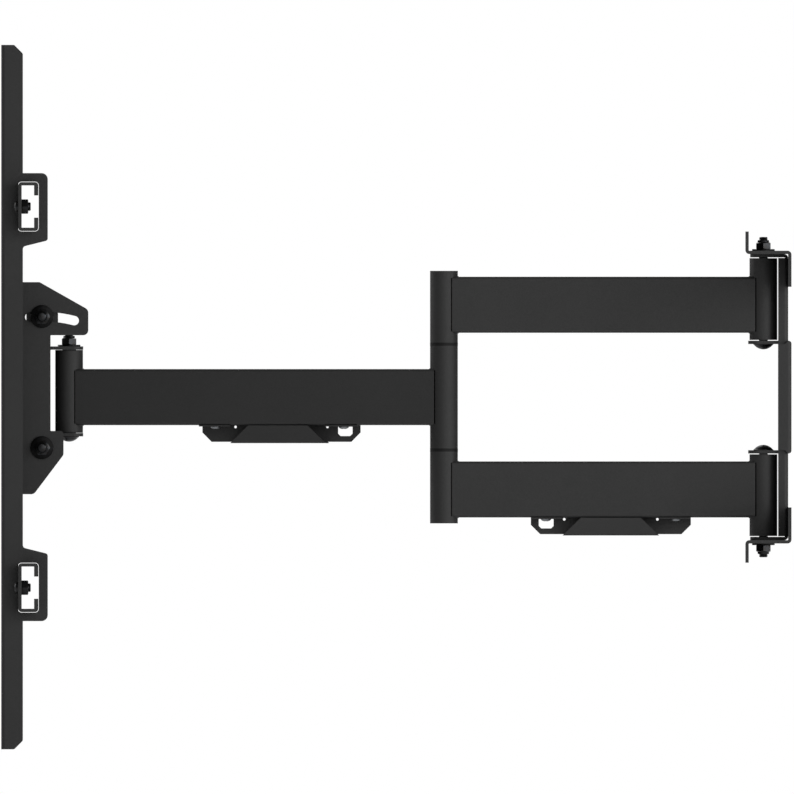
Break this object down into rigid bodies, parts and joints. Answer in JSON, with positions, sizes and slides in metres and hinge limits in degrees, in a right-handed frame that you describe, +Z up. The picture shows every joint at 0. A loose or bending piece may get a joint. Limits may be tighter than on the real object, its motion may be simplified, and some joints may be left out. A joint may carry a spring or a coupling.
{
  "type": "television wall mount",
  "caption": "Full-motion television wall mount: folding welded arms in an upper, middle and lower tier, a tilting head and upright screen brackets that slide along rails.",
  "frame": {"origin": "centre of the wall frame's back face, in the plane of the wall", "axes": "+Z up, +Y into the wall, -Y out of the wall towards the screen, +X to the mount's right as seen when facing out of the wall from behind, the side the stored arm and bracket names call right"},
  "size_m": [0.676, 0.7113, 0.634],
  "materials": {
    "wall_frame_coat": "black textured powder coat on folded sheet steel",
    "arm_coat": "black textured powder coat on welded steel tube",
    "head_coat": "black textured powder coat on a folded steel blank",
    "screen_side_coat": "black textured powder coat on folded and roll-formed steel",
    "black_zinc": "black zinc plate, satin",
    "nylon": "moulded black nylon",
    "tray_plastic": "moulded black ABS, fine grain"
  },
  "bodies": {
    "wall_frame": {"wall_rail_upper": "wall_frame_coat", "wall_rail_lower": "wall_frame_coat", "wall_column_right": "wall_frame_coat", "wall_column_left": "wall_frame_coat", "wall_tie_plate": "wall_frame_coat", "wall_pivot_bolts": "black_zinc", "wall_pivot_washers": "black_zinc", "wall_pivot_nuts": "black_zinc"},
    "rear_arms_right": {"rear_arm_upper_right": "arm_coat", "rear_arm_lower_right": "arm_coat", "rear_bushings_right": "nylon", "elbow_pin_right": "black_zinc", "elbow_caps_right": "nylon", "rear_cable_tray_right": "tray_plastic", "rear_tray_screws_right": "black_zinc"},
    "rear_arms_left": {"rear_arm_upper_left": "arm_coat", "rear_arm_lower_left": "arm_coat", "rear_bushings_left": "nylon", "elbow_pin_left": "black_zinc", "elbow_caps_left": "nylon", "rear_cable_tray_left": "tray_plastic", "rear_tray_screws_left": "black_zinc"},
    "front_arm_right": {"front_arm_right": "arm_coat", "elbow_bushings_right": "nylon", "head_bushings_right": "nylon", "front_cable_tray_right": "tray_plastic", "front_tray_screws_right": "black_zinc"},
    "front_arm_left": {"front_arm_left": "arm_coat", "elbow_bushings_left": "nylon", "front_cable_tray_left": "tray_plastic", "front_tray_screws_left": "black_zinc"},
    "head": {"head_bracket": "head_coat", "head_pivot_bolts": "black_zinc", "head_pivot_washers": "black_zinc", "head_pivot_nuts": "black_zinc", "head_pivot_sleeve": "black_zinc", "tilt_bolts": "black_zinc", "tilt_friction_discs": "nylon", "tilt_washers": "black_zinc", "tilt_nuts": "black_zinc"},
    "tilt_frame": {"tilt_plate_right": "screen_side_coat", "tilt_plate_left": "screen_side_coat", "tv_rail_upper": "screen_side_coat", "tv_rail_lower": "screen_side_coat", "rail_bolts": "black_zinc", "rail_nuts": "black_zinc", "stop_screws": "black_zinc", "stop_nuts": "black_zinc"},
    "screen_bracket_right": {"tv_bracket_right": "screen_side_coat"},
    "screen_bracket_left": {"tv_bracket_left": "screen_side_coat"}
  },
  "joints": [
    {"name": "shoulder_right", "type": "hinge", "parent": "wall_frame", "child": "rear_arms_right", "pos_m": [0.1302, -0.0253, 0], "axis": [0, 0, 1], "range_deg": [0, 86]},
    {"name": "elbow_right", "type": "hinge", "parent": "rear_arms_right", "child": "front_arm_right", "pos_m": [0.1302, -0.3128, 0], "axis": [0, 0, 1], "range_deg": [-162, 0]},
    {"name": "head_pivot", "type": "hinge", "parent": "front_arm_right", "child": "head", "pos_m": [0.076, -0.65017, 0], "axis": [0, 0, 1], "range_deg": [0, 76]},
    {"name": "shoulder_left", "type": "hinge", "parent": "wall_frame", "child": "rear_arms_left", "pos_m": [-0.1302, -0.0253, 0], "axis": [0, 0, 1], "range_deg": [-86, 0]},
    {"name": "elbow_left", "type": "hinge", "parent": "rear_arms_left", "child": "front_arm_left", "pos_m": [-0.1302, -0.3128, 0], "axis": [0, 0, 1], "range_deg": [0, 162]},
    {"name": "tilt", "type": "hinge", "parent": "head", "child": "tilt_frame", "pos_m": [0, -0.67467, -0.0455], "axis": [1, 0, 0], "range_deg": [-5, 14]},
    {"name": "bracket_right_slide", "type": "slide", "parent": "tilt_frame", "child": "screen_bracket_right", "axis": [-1, 0, 0], "range_m": [0, 0.15]},
    {"name": "bracket_left_slide", "type": "slide", "parent": "tilt_frame", "child": "screen_bracket_left", "axis": [1, 0, 0], "range_m": [0, 0.15]}
  ],
  "couplings": [
    {"joint": "elbow_right", "follows": "shoulder_right", "ratio": -1.8825},
    {"joint": "head_pivot", "follows": "shoulder_right", "ratio": 0.8825},
    {"joint": "shoulder_left", "follows": "shoulder_right", "ratio": -1},
    {"joint": "elbow_left", "follows": "shoulder_right", "ratio": 1.8825}
  ]
}
